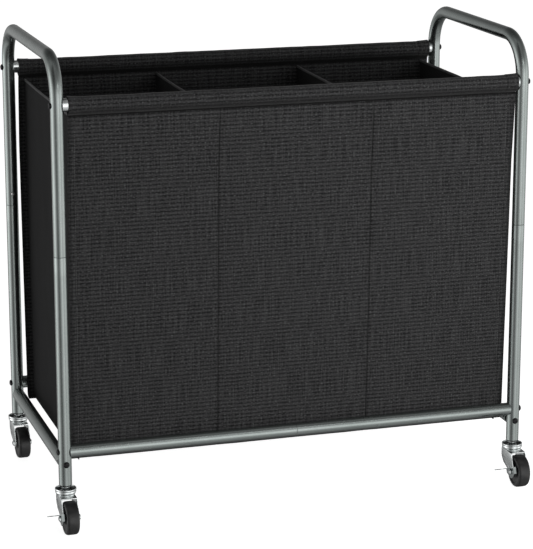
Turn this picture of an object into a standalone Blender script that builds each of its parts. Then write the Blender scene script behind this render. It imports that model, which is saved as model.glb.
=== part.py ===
"""Three-section laundry cart: a tube frame on four swivel casters that carries a fabric bag.

Units are metres, +Z is up, and the front of the cart faces -Y.  Everything is placed about the
middle of the frame and hangs on one empty, which puts the origin at the bottom centre of the
cart's box, on the surface it stands on.
"""

import math

import bmesh
import bpy
from mathutils import Matrix, Vector

# ---- Driving dimensions -------------------------------------------------------------------
GAP = 0.0003                # clearance left between pieces that touch

TUBE_R = 0.011              # all frame tubes, 22 mm outside
TUBE_WALL = 0.0009
TUBE_SIDES = 20

LEG_X = 0.401               # leg axes, from the middle of the cart
LEG_Y = 0.2053
LEG_BOTTOM_Z = 0.0754
SEAM_Z = 0.4646             # where the lower legs plug into the handle frames
SPIGOT_LENGTH = 0.045
ROD_Z = 0.712               # axis of the rods that hold up the bag
HANDLE_Z = 0.7846           # axis of the handles' top bars
HANDLE_BEND_R = 0.066
HANDLE_BEND_STEPS = 8
RAIL_Z = 0.1324             # axis of the front and back rails
SIDE_RAIL_Z = 0.1124        # axis of the side rails, which pass below them
SADDLE = 0.0075             # how far short of a leg's axis a rail's coped end stops

RAIL_SPIGOT = 0.040         # swaged end of a left half rail, inside the right half
INSERT_LENGTH = 0.020       # threaded plug in the end of a rail or rod
SHANK_R = 0.0025
SHANK_HOLE_R = 0.0029
SCREW_HEAD_R = 0.0053
SCREW_HEAD_H = 0.0030
SCREW_REACH_IN = 0.029      # from the leg's axis to the screw's tip

BUTTON_ABOVE_SEAM = 0.021
BUTTON_R = 0.0034
BUTTON_HOLE_R = 0.0038
BUTTON_PROUD = 0.0022
BUTTON_FLANGE_R = 0.0048

CLOTH = 0.0014              # thickness of the bag's cloth
SEAM_SINK = 0.0004          # how far the stitching draws the floor down below a divider
BAG_HALF_WIDTH = 0.386      # front and back panels, which reach past the side panels
SIDE_PANEL_X = 0.373
DIVIDER_X = 0.133
BAG_RIM_Z = 0.690           # stitched line below the sleeves, and top of sides and dividers
BAG_BOTTOM_Z = 0.110
BAG_TOP_Y = 0.2045          # front and back panels lean in from here at the rim
BAG_BOTTOM_Y = 0.1860       # to here at the floor, inside the rails
SLEEVE_R = 0.0128

WHEEL_R = 0.0281            # to the flats, so that the lowest flat lies on the ground
WHEEL_HALF_WIDTH = 0.011
WHEEL_SIDES = 24
TRAIL = 0.0335              # axle behind the swivel axis, towards -Y
AXLE_R = 0.003
FORK_HALF_WIDTH = 0.0138
FORK_SHEET = 0.0016
FORK_TOP_Z = 0.0604
CROWN_RIM_Z = 0.0697
CROWN_R = 0.018
CROWN_BASE_R = 0.0164
CROWN_WALL = 0.0054         # upright part of the dish, below its rim
CROWN_SHEET = 0.0016
CROWN_SINK = 0.0004         # how far the dish is let into the fork's top
PIVOT_R = 0.0045
PEDAL_SLOPE = math.radians(21.0)
PEDAL_REACH = 0.0325        # outer end of the brake pedal, from the caster's middle
PEDAL_SHEET = 0.0014

CORNERS = {"fl": (-1, -1), "fr": (1, -1), "rl": (-1, 1), "rr": (1, 1)}

# The origin is the bottom centre of the cart's box.  Beyond the leg axes the box ends at a brake
# pedal on the left, at the front wheels' treads, and at the caster crowns on the other two sides.
CENTRE_X = (PEDAL_REACH - CROWN_R) / 2
CENTRE_Y = (TRAIL + WHEEL_R - CROWN_R) / 2


# ---- Scene helpers ------------------------------------------------------------------------
def clear_scene():
    for obj in list(bpy.data.objects):
        bpy.data.objects.remove(obj, do_unlink=True)


def new_collection(name):
    collection = bpy.data.collections.new(name)
    bpy.context.scene.collection.children.link(collection)
    return collection


clear_scene()
PARTS = new_collection("laundry_cart")
CUTTERS = new_collection("cutters")


def material(name, colour, roughness, metallic=0.0):
    mat = bpy.data.materials.new(name)
    mat.use_nodes = True
    shader = mat.node_tree.nodes["Principled BSDF"]
    shader.inputs["Base Color"].default_value = (*colour, 1.0)
    shader.inputs["Roughness"].default_value = roughness
    shader.inputs["Metallic"].default_value = metallic
    return mat


GUNMETAL = material("gunmetal_paint", (0.13, 0.15, 0.145), 0.32, 0.6)
ZINC = material("zinc_plate", (0.62, 0.65, 0.64), 0.28, 1.0)
BLACK_STEEL = material("black_steel", (0.02, 0.02, 0.02), 0.4, 0.7)
SPRING_STEEL = material("spring_steel", (0.55, 0.55, 0.54), 0.3, 1.0)
PLUG_PLASTIC = material("plug_plastic", (0.03, 0.03, 0.03), 0.5)
WHEEL_RUBBER = material("wheel_rubber", (0.02, 0.02, 0.02), 0.55)
PANEL_CLOTH = material("panel_cloth", (0.026, 0.026, 0.028), 0.9)
SIDE_CLOTH = material("side_cloth", (0.018, 0.018, 0.020), 0.9)


def empty(name, location, parent=None):
    obj = bpy.data.objects.new(name, None)
    obj.location = location
    obj.parent = parent
    PARTS.objects.link(obj)
    return obj


CART = empty("cart", (CENTRE_X, CENTRE_Y, 0.0))


def add_object(name, data, mat, location=(0, 0, 0), rotation=(0, 0, 0), parent=CART):
    """Links a new sub-part, or a cutter where no material is given."""
    obj = bpy.data.objects.new(name, data)
    obj.location = location
    obj.rotation_euler = rotation
    obj.parent = parent
    if mat is None:
        CUTTERS.objects.link(obj)
        obj.hide_render = True
        obj.display_type = "WIRE"
    else:
        PARTS.objects.link(obj)
        data.materials.append(mat)
    return obj


def smooth(obj, angle=35.0):
    obj.data.shade_smooth()
    obj.data.set_sharp_from_angle(angle=math.radians(angle))


def cut(obj, cutter, operation="DIFFERENCE"):
    modifier = obj.modifiers.new(cutter.name, "BOOLEAN")
    modifier.operation = operation
    modifier.solver = "EXACT"
    modifier.object = cutter


# ---- Shape helpers ------------------------------------------------------------------------
X_AXIS = (0.0, math.pi / 2, 0.0)      # turns a shape's own +Z to +X
Y_AXIS = (-math.pi / 2, 0.0, 0.0)     # turns a shape's own +Z to +Y


def turned_mesh(name, profiles, steps, start=0.0):
    """A mesh turned about Z from (radius, height) profiles, each run down its outer side."""
    bm = bmesh.new()
    for profile in profiles:
        verts = [bm.verts.new((r * math.cos(start), r * math.sin(start), z)) for r, z in profile]
        closed = profile[0][0] > 0
        pairs = list(zip(verts, verts[1:])) + ([(verts[-1], verts[0])] if closed else [])
        for a, b in pairs:
            bm.edges.new((a, b))
    mesh = bpy.data.meshes.new(name)
    bm.to_mesh(mesh)
    bm.free()
    holder = bpy.data.objects.new(name + "_profile", mesh)
    bpy.context.scene.collection.objects.link(holder)
    screw = holder.modifiers.new("turn", "SCREW")
    screw.steps = steps
    screw.render_steps = steps
    screw.use_merge_vertices = True
    screw.merge_threshold = 0.00001
    result = evaluated_mesh(holder)
    bpy.data.objects.remove(holder)
    result.shade_smooth()
    result.set_sharp_from_angle(angle=math.radians(35.0))
    return result


def evaluated_mesh(obj):
    """The object's mesh with its modifiers or curve bevel worked out, and loose caps welded."""
    bpy.context.view_layer.update()
    depsgraph = bpy.context.evaluated_depsgraph_get()
    mesh = bpy.data.meshes.new_from_object(obj.evaluated_get(depsgraph))
    bm = bmesh.new()
    bm.from_mesh(mesh)
    bmesh.ops.remove_doubles(bm, verts=bm.verts, dist=0.00001)
    bm.to_mesh(mesh)
    bm.free()
    return mesh


def ring(inner, outer, low, high):
    return [(outer, high), (outer, low), (inner, low), (inner, high)]


def disc(radius, low, high):
    return [(0.0, high), (radius, high), (radius, low), (0.0, low)]


def box_mesh(name, low, high):
    bm = bmesh.new()
    bmesh.ops.create_cube(bm, size=1.0)
    low, high = Vector(low), Vector(high)
    bmesh.ops.scale(bm, verts=bm.verts, vec=high - low)
    bmesh.ops.translate(bm, verts=bm.verts, vec=(high + low) / 2)
    mesh = bpy.data.meshes.new(name)
    bm.to_mesh(mesh)
    bm.free()
    return mesh


def outline_mesh(name, outlines, thickness):
    """A flat outline in the XY plane, holes after it, given a thickness about that plane."""
    curve = bpy.data.curves.new(name, "CURVE")
    curve.dimensions = "2D"
    curve.fill_mode = "BOTH"
    curve.extrude = thickness / 2
    for points in outlines:
        spline = curve.splines.new("POLY")
        spline.points.add(len(points) - 1)
        for point, (x, y) in zip(spline.points, points):
            point.co = (x, y, 0.0, 1.0)
        spline.use_cyclic_u = True
    holder = bpy.data.objects.new(name + "_curve", curve)
    bpy.context.scene.collection.objects.link(holder)
    mesh = evaluated_mesh(holder)
    bpy.data.objects.remove(holder)
    return mesh


# The outline's own X and Y become Y and Z, and its thickness runs along X.
ACROSS = (math.pi / 2, 0.0, math.pi / 2)

# The outline's own Y becomes Z, and its thickness runs along Y.
UPRIGHT = (math.pi / 2, 0.0, 0.0)


def sheet_mesh(name, path, low, high, thickness):
    """A bent strip: an (x, z) path drawn out along Y from low to high, then given a thickness."""
    bm = bmesh.new()
    rows = [[bm.verts.new((x, y, z)) for x, z in path] for y in (low, high)]
    for i in range(len(path) - 1):
        bm.faces.new((rows[0][i], rows[0][i + 1], rows[1][i + 1], rows[1][i]))
    mesh = bpy.data.meshes.new(name)
    bm.to_mesh(mesh)
    bm.free()
    holder = bpy.data.objects.new(name + "_sheet", mesh)
    bpy.context.scene.collection.objects.link(holder)
    solidify = holder.modifiers.new("thickness", "SOLIDIFY")
    solidify.thickness = thickness
    solidify.offset = -1.0
    solidify.use_even_offset = True
    result = evaluated_mesh(holder)
    bpy.data.objects.remove(holder)
    return result


def arc(cx, cy, radius, start, end, steps):
    """Points on an arc, with angles in degrees."""
    angles = [math.radians(start + (end - start) * i / steps) for i in range(steps + 1)]
    return [(cx + radius * math.cos(a), cy + radius * math.sin(a)) for a in angles]


# ---- Frame --------------------------------------------------------------------------------
def handle_path():
    """Half an inverted U and its mirror image, as (y, z) points along the tube's axis."""
    bend_y = LEG_Y - HANDLE_BEND_R
    bend_z = HANDLE_Z - HANDLE_BEND_R
    front = [(-LEG_Y, SEAM_Z)] + arc(-bend_y, bend_z, HANDLE_BEND_R, 180, 90, HANDLE_BEND_STEPS)
    return front + [(-y, z) for y, z in reversed(front)]


def handle_tube_mesh():
    """The bent tube as a hollow shell with open ends."""
    curve = bpy.data.curves.new("handle_axis", "CURVE")
    curve.dimensions = "3D"
    curve.bevel_depth = TUBE_R
    curve.bevel_resolution = TUBE_SIDES // 2 - 2
    curve.use_fill_caps = False
    points = handle_path()
    spline = curve.splines.new("POLY")
    spline.points.add(len(points) - 1)
    for point, (y, z) in zip(spline.points, points):
        point.co = (0.0, y, z, 1.0)
    holder = bpy.data.objects.new("handle_holder", curve)
    bpy.context.scene.collection.objects.link(holder)
    mesh = evaluated_mesh(holder)
    bpy.data.objects.remove(holder)
    return mesh


def hole_cutter(name, location, rotation, radius, low, high):
    mesh = turned_mesh(name, [disc(radius, low, high)], 10)
    return add_object(name, mesh, None, location, rotation)


def make_handle_frame(side, sx):
    frame = add_object(side + "_handle_frame", handle_tube_mesh(), GUNMETAL, (sx * LEG_X, 0, 0))
    wall = frame.modifiers.new("wall", "SOLIDIFY")
    wall.thickness = TUBE_WALL
    wall.offset = -1.0
    for sy in (-1, 1):
        tag = side + ("_front" if sy < 0 else "_back")
        rod_hole = hole_cutter(tag + "_rod_hole", (sx * LEG_X, sy * LEG_Y, ROD_Z), X_AXIS,
                               SHANK_HOLE_R, -0.02, 0.02)
        cut(frame, rod_hole)
        button_at = (sx * LEG_X, sy * LEG_Y, SEAM_Z + BUTTON_ABOVE_SEAM)
        inward = (sy * math.pi / 2, 0, 0)
        cut(frame, hole_cutter(tag + "_button_hole", button_at, inward, BUTTON_HOLE_R, 0, 0.02))
    smooth(frame)


def lower_leg_profile():
    """The tube's outer side from the spigot's top down, then back up its bore."""
    spigot_r = TUBE_R - TUBE_WALL - GAP
    top = SEAM_Z + SPIGOT_LENGTH
    shoulder = SEAM_Z - GAP
    neck = shoulder - 0.004
    outer = [(spigot_r - 0.001, top), (spigot_r, top - 0.002), (spigot_r, shoulder)]
    outer += [(TUBE_R - 0.0006, shoulder), (TUBE_R, shoulder - 0.0008), (TUBE_R, LEG_BOTTOM_Z)]
    bore = [(TUBE_R - TUBE_WALL, LEG_BOTTOM_Z), (TUBE_R - TUBE_WALL, neck - 0.003)]
    bore += [(spigot_r - TUBE_WALL, neck), (spigot_r - TUBE_WALL, top)]
    return outer + bore


def make_lower_leg(tag, sx, sy, mesh):
    at = Vector((sx * LEG_X, sy * LEG_Y, 0.0))
    leg = add_object("lower_leg_" + tag, mesh.copy(), GUNMETAL, at)
    up = Vector((0, 0, 1))
    inward = (sy * math.pi / 2, 0, 0)
    cut(leg, hole_cutter(tag + "_rail_hole", at + up * RAIL_Z, X_AXIS, SHANK_HOLE_R, -0.02, 0.02))
    cut(leg, hole_cutter(tag + "_side_hole", at + up * SIDE_RAIL_Z, Y_AXIS, SHANK_HOLE_R,
                         -0.02, 0.02))
    button_z = SEAM_Z + BUTTON_ABOVE_SEAM
    cut(leg, hole_cutter(tag + "_spigot_hole", at + up * button_z, inward, BUTTON_HOLE_R, 0, 0.02))
    smooth(leg)


def make_button(tag, sx, sy, mesh):
    """A domed pin whose own +Z points out of the leg, along its travel."""
    at = (sx * LEG_X, sy * LEG_Y, SEAM_Z + BUTTON_ABOVE_SEAM)
    add_object("snap_button_" + tag, mesh, SPRING_STEEL, at, (sy * math.pi / 2, 0, 0))


def button_mesh():
    """The pin, its flange, and the spring leaf that it stands on, which hangs below it."""
    tip = TUBE_R + BUTTON_PROUD
    profile = [(0.0, tip), (BUTTON_R * 0.55, tip - 0.0003), (BUTTON_R * 0.88, tip - 0.0011)]
    profile += [(BUTTON_R, tip - 0.0022), (BUTTON_R, 0.0070), (BUTTON_FLANGE_R, 0.0070)]
    profile += [(BUTTON_FLANGE_R, 0.0060), (0.0, 0.0060)]
    pin = bpy.data.objects.new("button_holder", turned_mesh("snap_button", [profile], 12))
    bpy.context.scene.collection.objects.link(pin)
    leaf = sheet_mesh("button_leaf", [(0.0040, 0.0065), (-0.0110, 0.0065), (-0.0300, 0.0010)],
                      -0.0025, 0.0025, 0.0006)
    cut(pin, add_object("button_leaf", leaf, None, (0, 0, 0), (0, 0, 0), None), "UNION")
    mesh = evaluated_mesh(pin)
    bpy.data.objects.remove(pin)
    mesh.transform(Matrix.Rotation(math.pi / 2, 4, "Z"))
    mesh.shade_smooth()
    mesh.set_sharp_from_angle(angle=math.radians(35.0))
    return mesh


def plugged_end(end, sign):
    """The bore's points, in profile order, at an end that holds a pressed-in threaded plug."""
    inside = end - sign * INSERT_LENGTH
    points = [(SHANK_R + GAP, end), (SHANK_R + GAP, inside), (TUBE_R - TUBE_WALL, inside)]
    return points if sign < 0 else points[::-1]


def straight_tube(name, low, high, location, rotation, low_plug=True, mat=GUNMETAL):
    """A tube along its own Z with a threaded plug in its upper end, and mostly in its lower."""
    bore = plugged_end(low, -1) if low_plug else [(TUBE_R - TUBE_WALL, low)]
    profile = [(TUBE_R, high), (TUBE_R, low)] + bore + plugged_end(high, 1)
    mesh = turned_mesh(name, [profile], TUBE_SIDES)
    return add_object(name, mesh, mat, location, rotation)


def cope(tube, leg_at):
    """Cuts the tube's end to the round of the leg that it meets."""
    name = tube.name + "_cope_%d" % len(tube.modifiers)
    mesh = turned_mesh(name, [disc(TUBE_R + GAP, -0.05, 0.05)], TUBE_SIDES)
    cut(tube, add_object(name, mesh, None, leg_at))


def make_side_rail(side, sx):
    half = LEG_Y - SADDLE
    rail = straight_tube(side + "_side_rail", -half, half, (sx * LEG_X, 0, SIDE_RAIL_Z), Y_AXIS)
    for sy in (-1, 1):
        cope(rail, (sx * LEG_X, sy * LEG_Y, SIDE_RAIL_Z))
    smooth(rail)


def make_split_rail(stem, height, y):
    """Two half tubes that meet in the middle: the left one's swaged spigot enters the right."""
    spigot_r = TUBE_R - TUBE_WALL - GAP
    end = LEG_X - SADDLE
    bore_r = spigot_r - TUBE_WALL
    left = [(spigot_r, RAIL_SPIGOT), (spigot_r, -GAP), (TUBE_R, -GAP), (TUBE_R, -end)]
    left += plugged_end(-end, -1) + [(TUBE_R - TUBE_WALL, -0.006), (bore_r, -0.003)]
    left += [(bore_r, RAIL_SPIGOT)]
    mesh = turned_mesh(stem + "_left", [left], TUBE_SIDES)
    half = add_object(stem + "_left", mesh, GUNMETAL, (0, y, height), X_AXIS)
    cope(half, (-LEG_X, y, height))
    smooth(half)
    half = straight_tube(stem + "_right", 0.0, end, (0, y, height), X_AXIS, low_plug=False)
    cope(half, (LEG_X, y, height))
    smooth(half)


def make_rod(name, y):
    """The rod that the bag's sleeve slides over."""
    end = LEG_X - SADDLE
    rod = straight_tube(name, -end, end, (0, y, ROD_Z), X_AXIS, mat=ZINC)
    for sx in (-1, 1):
        cope(rod, (sx * LEG_X, y, ROD_Z))
    smooth(rod)


def screw_mesh():
    """A domed screw: head outside the leg, shank through it, its tip towards -Z."""
    seat = TUBE_R + GAP
    top = seat + SCREW_HEAD_H
    profile = [(0.0, top), (SCREW_HEAD_R * 0.5, top - 0.0003), (SCREW_HEAD_R * 0.85, top - 0.0011)]
    profile += [(SCREW_HEAD_R, seat + 0.0006), (SCREW_HEAD_R, seat), (SHANK_R, seat)]
    profile += [(SHANK_R, 0.001 - SCREW_REACH_IN), (0.0, -SCREW_REACH_IN)]
    return turned_mesh("screw", [profile], 12)


def make_screws():
    """At each leg: one into the rod and one into the long rail, both along X, and one along Y."""
    mesh = screw_mesh()
    for tag, (sx, sy) in CORNERS.items():
        x, y = sx * LEG_X, sy * LEG_Y
        outward = (0, sx * math.pi / 2, 0)
        add_object("rod_screw_" + tag, mesh, BLACK_STEEL, (x, y, ROD_Z), outward)
        add_object("rail_screw_" + tag, mesh, BLACK_STEEL, (x, y, RAIL_Z), outward)
        outward = (-sy * math.pi / 2, 0, 0)
        add_object("side_rail_screw_" + tag, mesh, BLACK_STEEL, (x, y, SIDE_RAIL_Z), outward)


def make_frame():
    for side, sx in (("left", -1), ("right", 1)):
        make_handle_frame(side, sx)
        make_side_rail(side, sx)
    leg = turned_mesh("lower_leg", [lower_leg_profile()], TUBE_SIDES)
    button = button_mesh()
    for tag, (sx, sy) in CORNERS.items():
        make_lower_leg(tag, sx, sy, leg)
        make_button(tag, sx, sy, button)
    for stem, sy in (("front", -1), ("back", 1)):
        make_split_rail(stem + "_rail", RAIL_Z, sy * LEG_Y)
        make_rod(stem + "_rod", sy * LEG_Y)
    make_screws()


# ---- Bag ----------------------------------------------------------------------------------
def bag_y(z):
    """How far the middle of the front or back panel stands from the cart's middle."""
    share = (z - BAG_BOTTOM_Z) / (BAG_RIM_Z - BAG_BOTTOM_Z)
    return BAG_BOTTOM_Y + share * (BAG_TOP_Y - BAG_BOTTOM_Y)


def sleeve_loop(radius, drop):
    """A drop-shaped loop about the rod, from its right flank over the top to its left."""
    open_angle = math.degrees(math.asin(radius / drop))
    start = -open_angle
    return arc(LEG_Y, ROD_Z, radius, start, 180.0 - start, 18)


def make_bag_panel(name, sy):
    """One cloth panel with the sleeve that takes the rod, drawn in (y, z) for the back."""
    half = CLOTH / 2
    outer = sleeve_loop(SLEEVE_R, 0.035)
    rim = [(bag_y(BAG_RIM_Z) - half, BAG_RIM_Z), (bag_y(BAG_BOTTOM_Z) - half, BAG_BOTTOM_Z)]
    rim += [(bag_y(BAG_BOTTOM_Z) + half, BAG_BOTTOM_Z), (bag_y(BAG_RIM_Z) + half, BAG_RIM_Z)]
    hole = sleeve_loop(TUBE_R + 0.0004, 0.031)
    hole += [(bag_y(BAG_RIM_Z), BAG_RIM_Z + 0.002)]
    outlines = [[(sy * y, z) for y, z in points] for points in (outer + rim, hole)]
    mesh = outline_mesh(name, outlines, 2 * BAG_HALF_WIDTH)
    smooth(add_object(name, mesh, PANEL_CLOTH, (0, 0, 0), ACROSS))


def make_cross_panel(name, x, low_z):
    """A side or a divider, which fills the bag from its front panel to its back one."""
    clear = CLOTH / 2 + GAP
    low, high = bag_y(low_z) - clear, bag_y(BAG_RIM_Z) - clear
    outline = [(-low, low_z), (low, low_z), (high, BAG_RIM_Z), (-high, BAG_RIM_Z)]
    mesh = outline_mesh(name, [outline], CLOTH)
    add_object(name, mesh, SIDE_CLOTH, (x, 0, 0), ACROSS)


def make_floor(top):
    """The floor cloth, thinned along the lines where the dividers are stitched down."""
    reach_x = SIDE_PANEL_X - CLOTH / 2 - GAP
    reach_y = bag_y(BAG_BOTTOM_Z) - CLOTH / 2 - GAP
    outline = [(-reach_x, top), (-reach_x, BAG_BOTTOM_Z), (reach_x, BAG_BOTTOM_Z), (reach_x, top)]
    for seam_x in (DIVIDER_X, -DIVIDER_X):
        right, left = seam_x + CLOTH, seam_x - CLOTH
        low = top - SEAM_SINK
        outline += [(right, top), (right, low), (left, low), (left, top)]
    mesh = outline_mesh("bag_floor", [outline], 2 * reach_y)
    add_object("bag_floor", mesh, SIDE_CLOTH, (0, 0, 0), UPRIGHT)


def make_bag():
    make_bag_panel("bag_front_panel", -1)
    make_bag_panel("bag_back_panel", 1)
    floor_top = BAG_BOTTOM_Z + CLOTH
    make_floor(floor_top)
    for side, sx in (("left", -1), ("right", 1)):
        make_cross_panel("bag_%s_side" % side, sx * SIDE_PANEL_X, BAG_BOTTOM_Z)
        make_cross_panel("bag_divider_" + side, sx * DIVIDER_X, floor_top)


# ---- Casters, each about its own swivel axis ------------------------------------------------
def socket_mesh():
    """The plastic plug that takes a caster's stem, with a collar below the leg."""
    outer = TUBE_R - TUBE_WALL - GAP
    bore = 0.0043
    collar_top = LEG_BOTTOM_Z - GAP
    collar_low = collar_top - 0.0014
    profile = [(outer, LEG_BOTTOM_Z + 0.022), (outer, collar_top), (TUBE_R - 0.0003, collar_top)]
    profile += [(TUBE_R - 0.0003, collar_low), (bore, collar_low), (bore, LEG_BOTTOM_Z + 0.022)]
    return turned_mesh("socket", [profile], 14)


def stem_mesh():
    """Stem, flange, race cone and pivot in one turned piece, with its rivet head below."""
    profile = [(0.0, 0.1000), (0.0030, 0.1000), (0.0040, 0.0985), (0.0040, 0.0733)]
    profile += [(0.0080, 0.0733), (0.0080, 0.0706), (0.0055, 0.0706), (0.0055, 0.0668)]
    profile += [(0.0090, 0.0660), (0.0090, 0.0640), (PIVOT_R, 0.0626)]
    profile += [(PIVOT_R, FORK_TOP_Z - FORK_SHEET - GAP), (0.0070, FORK_TOP_Z - FORK_SHEET - GAP)]
    profile += [(0.0058, 0.0563), (0.0, 0.0560)]
    return turned_mesh("caster_stem", [profile], 12)


def cheek_outline():
    """The fork's side view in (y, z): square top, sloping rear edge, round boss at the axle."""
    points = [(0.0135, FORK_TOP_Z + 0.001), (0.0135, 0.0460), (0.0115, 0.0410)]
    points += [(0.0040, 0.0340)]
    points += arc(-TRAIL, WHEEL_R, 0.0080, -50, -180, 7)
    points += [(-TRAIL - 0.0075, 0.0330), (-0.0305, FORK_TOP_Z - 0.004)]
    points += [(-0.0305, FORK_TOP_Z + 0.001)]
    return points


def crown_mesh():
    """The dish that turns on the balls; its base is one with the fork's top."""
    base = FORK_TOP_Z - CROWN_SINK
    floor = FORK_TOP_Z + FORK_SHEET
    turn_z = CROWN_RIM_Z - CROWN_WALL
    inner_r, edge = CROWN_R - CROWN_SHEET, CROWN_SHEET / 2
    profile = [(CROWN_R - edge, CROWN_RIM_Z), (CROWN_R, CROWN_RIM_Z - edge)]
    profile += [(CROWN_R, turn_z), (CROWN_BASE_R, base), (PIVOT_R + GAP, base)]
    profile += [(PIVOT_R + GAP, floor), (CROWN_BASE_R - CROWN_SHEET, floor)]
    profile += [(inner_r, turn_z), (inner_r, CROWN_RIM_Z)]
    return turned_mesh("crown", [profile], 16)


def fork_mesh():
    """A folded channel trimmed to the cheeks' outline, with the crown on top."""
    w, top, corner = FORK_HALF_WIDTH, FORK_TOP_Z, 0.0018
    right = [(w, 0.010), (w, top - corner)]
    right += [(w - corner * 0.3, top - corner * 0.3), (w - corner, top)]
    path = [(-x, z) for x, z in right] + list(reversed(right))
    mesh = sheet_mesh("fork_channel", path, -0.060, 0.030, FORK_SHEET)
    fork = bpy.data.objects.new("fork_holder", mesh)
    bpy.context.scene.collection.objects.link(fork)
    outline = outline_mesh("fork_trim", [cheek_outline()], 0.05)
    trim = add_object("fork_trim", outline, None, (0, 0, 0), ACROSS, None)
    crown = add_object("fork_crown", crown_mesh(), None, (0, 0, 0), (0, 0, 0), None)
    pivot = turned_mesh("fork_pivot_hole", [disc(PIVOT_R + GAP, 0.05, 0.08)], 12)
    pivot_hole = add_object("fork_pivot_hole", pivot, None, (0, 0, 0), (0, 0, 0), None)
    axle = turned_mesh("fork_axle_hole", [disc(AXLE_R + GAP, -0.03, 0.03)], 12)
    axle_hole = add_object("fork_axle_hole", axle, None, (0, -TRAIL, WHEEL_R), X_AXIS, None)
    cut(fork, trim, "INTERSECT")
    cut(fork, crown, "UNION")
    cut(fork, pivot_hole)
    cut(fork, axle_hole)
    result = evaluated_mesh(fork)
    bpy.data.objects.remove(fork)
    result.shade_smooth()
    result.set_sharp_from_angle(angle=math.radians(35.0))
    return result


def wheel_mesh():
    """A solid wheel with rounded tread edges and dished sides; its axis is its own Z."""
    flat = 1.0 / math.cos(math.pi / WHEEL_SIDES)
    w = WHEEL_HALF_WIDTH
    rim = [(0.0238, w), (0.0262, w - 0.0010), (WHEEL_R, w - 0.0042)]
    rim += [(r, -z) for r, z in reversed(rim)]
    face = [(0.0205, -w + 0.0010), (0.0085, -w + 0.0010), (AXLE_R + GAP, -w)]
    face += [(r, -z) for r, z in reversed(face)]
    profile = [(r * flat, z) for r, z in rim + face]
    return turned_mesh("caster_wheel", [profile], WHEEL_SIDES, math.pi / WHEEL_SIDES)


def axle_mesh(seat):
    """An axle rivet along its own Z: domed head at +Z, a six-sided one beyond the seat at -Z."""
    head = FORK_HALF_WIDTH + GAP
    end = seat + 0.0030
    profile = [(0.0, head + 0.0032), (0.0040, head + 0.0030), (0.0052, head + 0.0020)]
    profile += [(0.0054, head), (AXLE_R, head), (AXLE_R, -end - 0.0010), (0.0, -end - 0.0013)]
    axle = bpy.data.objects.new("axle_holder", turned_mesh("caster_axle", [profile], 12))
    bpy.context.scene.collection.objects.link(axle)
    nut = turned_mesh("axle_nut_%d" % round(seat * 1e5), [disc(0.0052, -end, -seat)], 6)
    cut(axle, add_object(nut.name, nut, None, (0, 0, 0), (0, 0, 0), None), "UNION")
    mesh = evaluated_mesh(axle)
    bpy.data.objects.remove(axle)
    mesh.shade_smooth()
    mesh.set_sharp_from_angle(angle=math.radians(35.0))
    return mesh


def lever_mesh():
    """Brake lever about the axle, level as it is folded up: side plate, pedal and front lip."""
    inner = FORK_HALF_WIDTH + GAP
    outer = inner + PEDAL_SHEET
    pedal_top = 0.0066
    plate = [(-0.0215, pedal_top), (-0.0215, -0.0010), (-0.0080, -0.0100)]
    plate += arc(0, 0, 0.0120, -120, -60, 5)
    plate += [(0.0190, -0.0010), (0.0190, pedal_top)]
    side = outline_mesh("lever_plate", [plate], PEDAL_SHEET)
    tab = [(-inner, -0.0215), (-0.0232, -0.0215), (-0.0232, 0.0150), (-0.0250, 0.0190)]
    tab += [(-PEDAL_REACH + 0.003, 0.0205), (-PEDAL_REACH, 0.0235), (-PEDAL_REACH, 0.0320)]
    tab += [(-PEDAL_REACH + 0.003, 0.0350), (-0.0200, 0.0350), (-inner, 0.0290)]
    pedal = outline_mesh("lever_pedal", [tab], PEDAL_SHEET)
    lip = box_mesh("lever_lip", (-0.0190, -0.0215, -0.0050), (-inner, -0.0201, pedal_top - 0.0005))
    lever = bpy.data.objects.new("lever_holder", side)
    bpy.context.scene.collection.objects.link(lever)
    lever.rotation_euler = ACROSS
    lever.location = (-(inner + outer) / 2, 0, 0)
    level = (0, 0, pedal_top - PEDAL_SHEET / 2)
    cut(lever, add_object("lever_pedal", pedal, None, level, (0, 0, 0), None), "UNION")
    cut(lever, add_object("lever_lip", lip, None, (0, 0, 0), (0, 0, 0), None), "UNION")
    bore = turned_mesh("lever_bore", [disc(AXLE_R + GAP, -0.03, 0.0)], 12)
    cut(lever, add_object("lever_bore", bore, None, (0, 0, 0), X_AXIS, None))
    result = evaluated_mesh(lever)
    result.transform(lever.matrix_world)
    result.transform(Matrix.Rotation(-PEDAL_SLOPE, 4, "X"))
    bpy.data.objects.remove(lever)
    return result


def make_casters():
    socket, stem, fork, wheel = socket_mesh(), stem_mesh(), fork_mesh(), wheel_mesh()
    lever = lever_mesh()
    plain_axle = axle_mesh(FORK_HALF_WIDTH + GAP)
    braked_axle = axle_mesh(FORK_HALF_WIDTH + GAP + PEDAL_SHEET + GAP)
    for tag, (sx, sy) in CORNERS.items():
        at = Vector((sx * LEG_X, sy * LEG_Y, 0.0))
        axle_at = (0, -TRAIL, WHEEL_R)
        add_object("caster_socket_" + tag, socket, PLUG_PLASTIC, at)
        add_object("caster_stem_" + tag, stem, ZINC, at)
        swivel = empty("swivel_" + tag, at, CART)
        add_object("caster_fork_" + tag, fork, ZINC, parent=swivel)
        spin = empty("axle_line_" + tag, axle_at, swivel)
        add_object("caster_wheel_" + tag, wheel, WHEEL_RUBBER, rotation=X_AXIS, parent=spin)
        axle = braked_axle if sy < 0 else plain_axle
        add_object("caster_axle_" + tag, axle, ZINC, rotation=X_AXIS, parent=spin)
        if sy < 0:
            add_object("brake_lever_" + tag, lever, ZINC, parent=spin)


make_frame()
make_bag()
make_casters()
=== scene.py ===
"""Looks for the three-section laundry cart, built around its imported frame.

Every length is in metres.  Shapes are drawn about the middle of the cart, at ground level, and
each object then stands at CENTRE; caster pieces are drawn about their own swivel axis.
"""

import math

import bmesh
import bpy
import numpy as np
from mathutils import Matrix, Vector, noise


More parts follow.
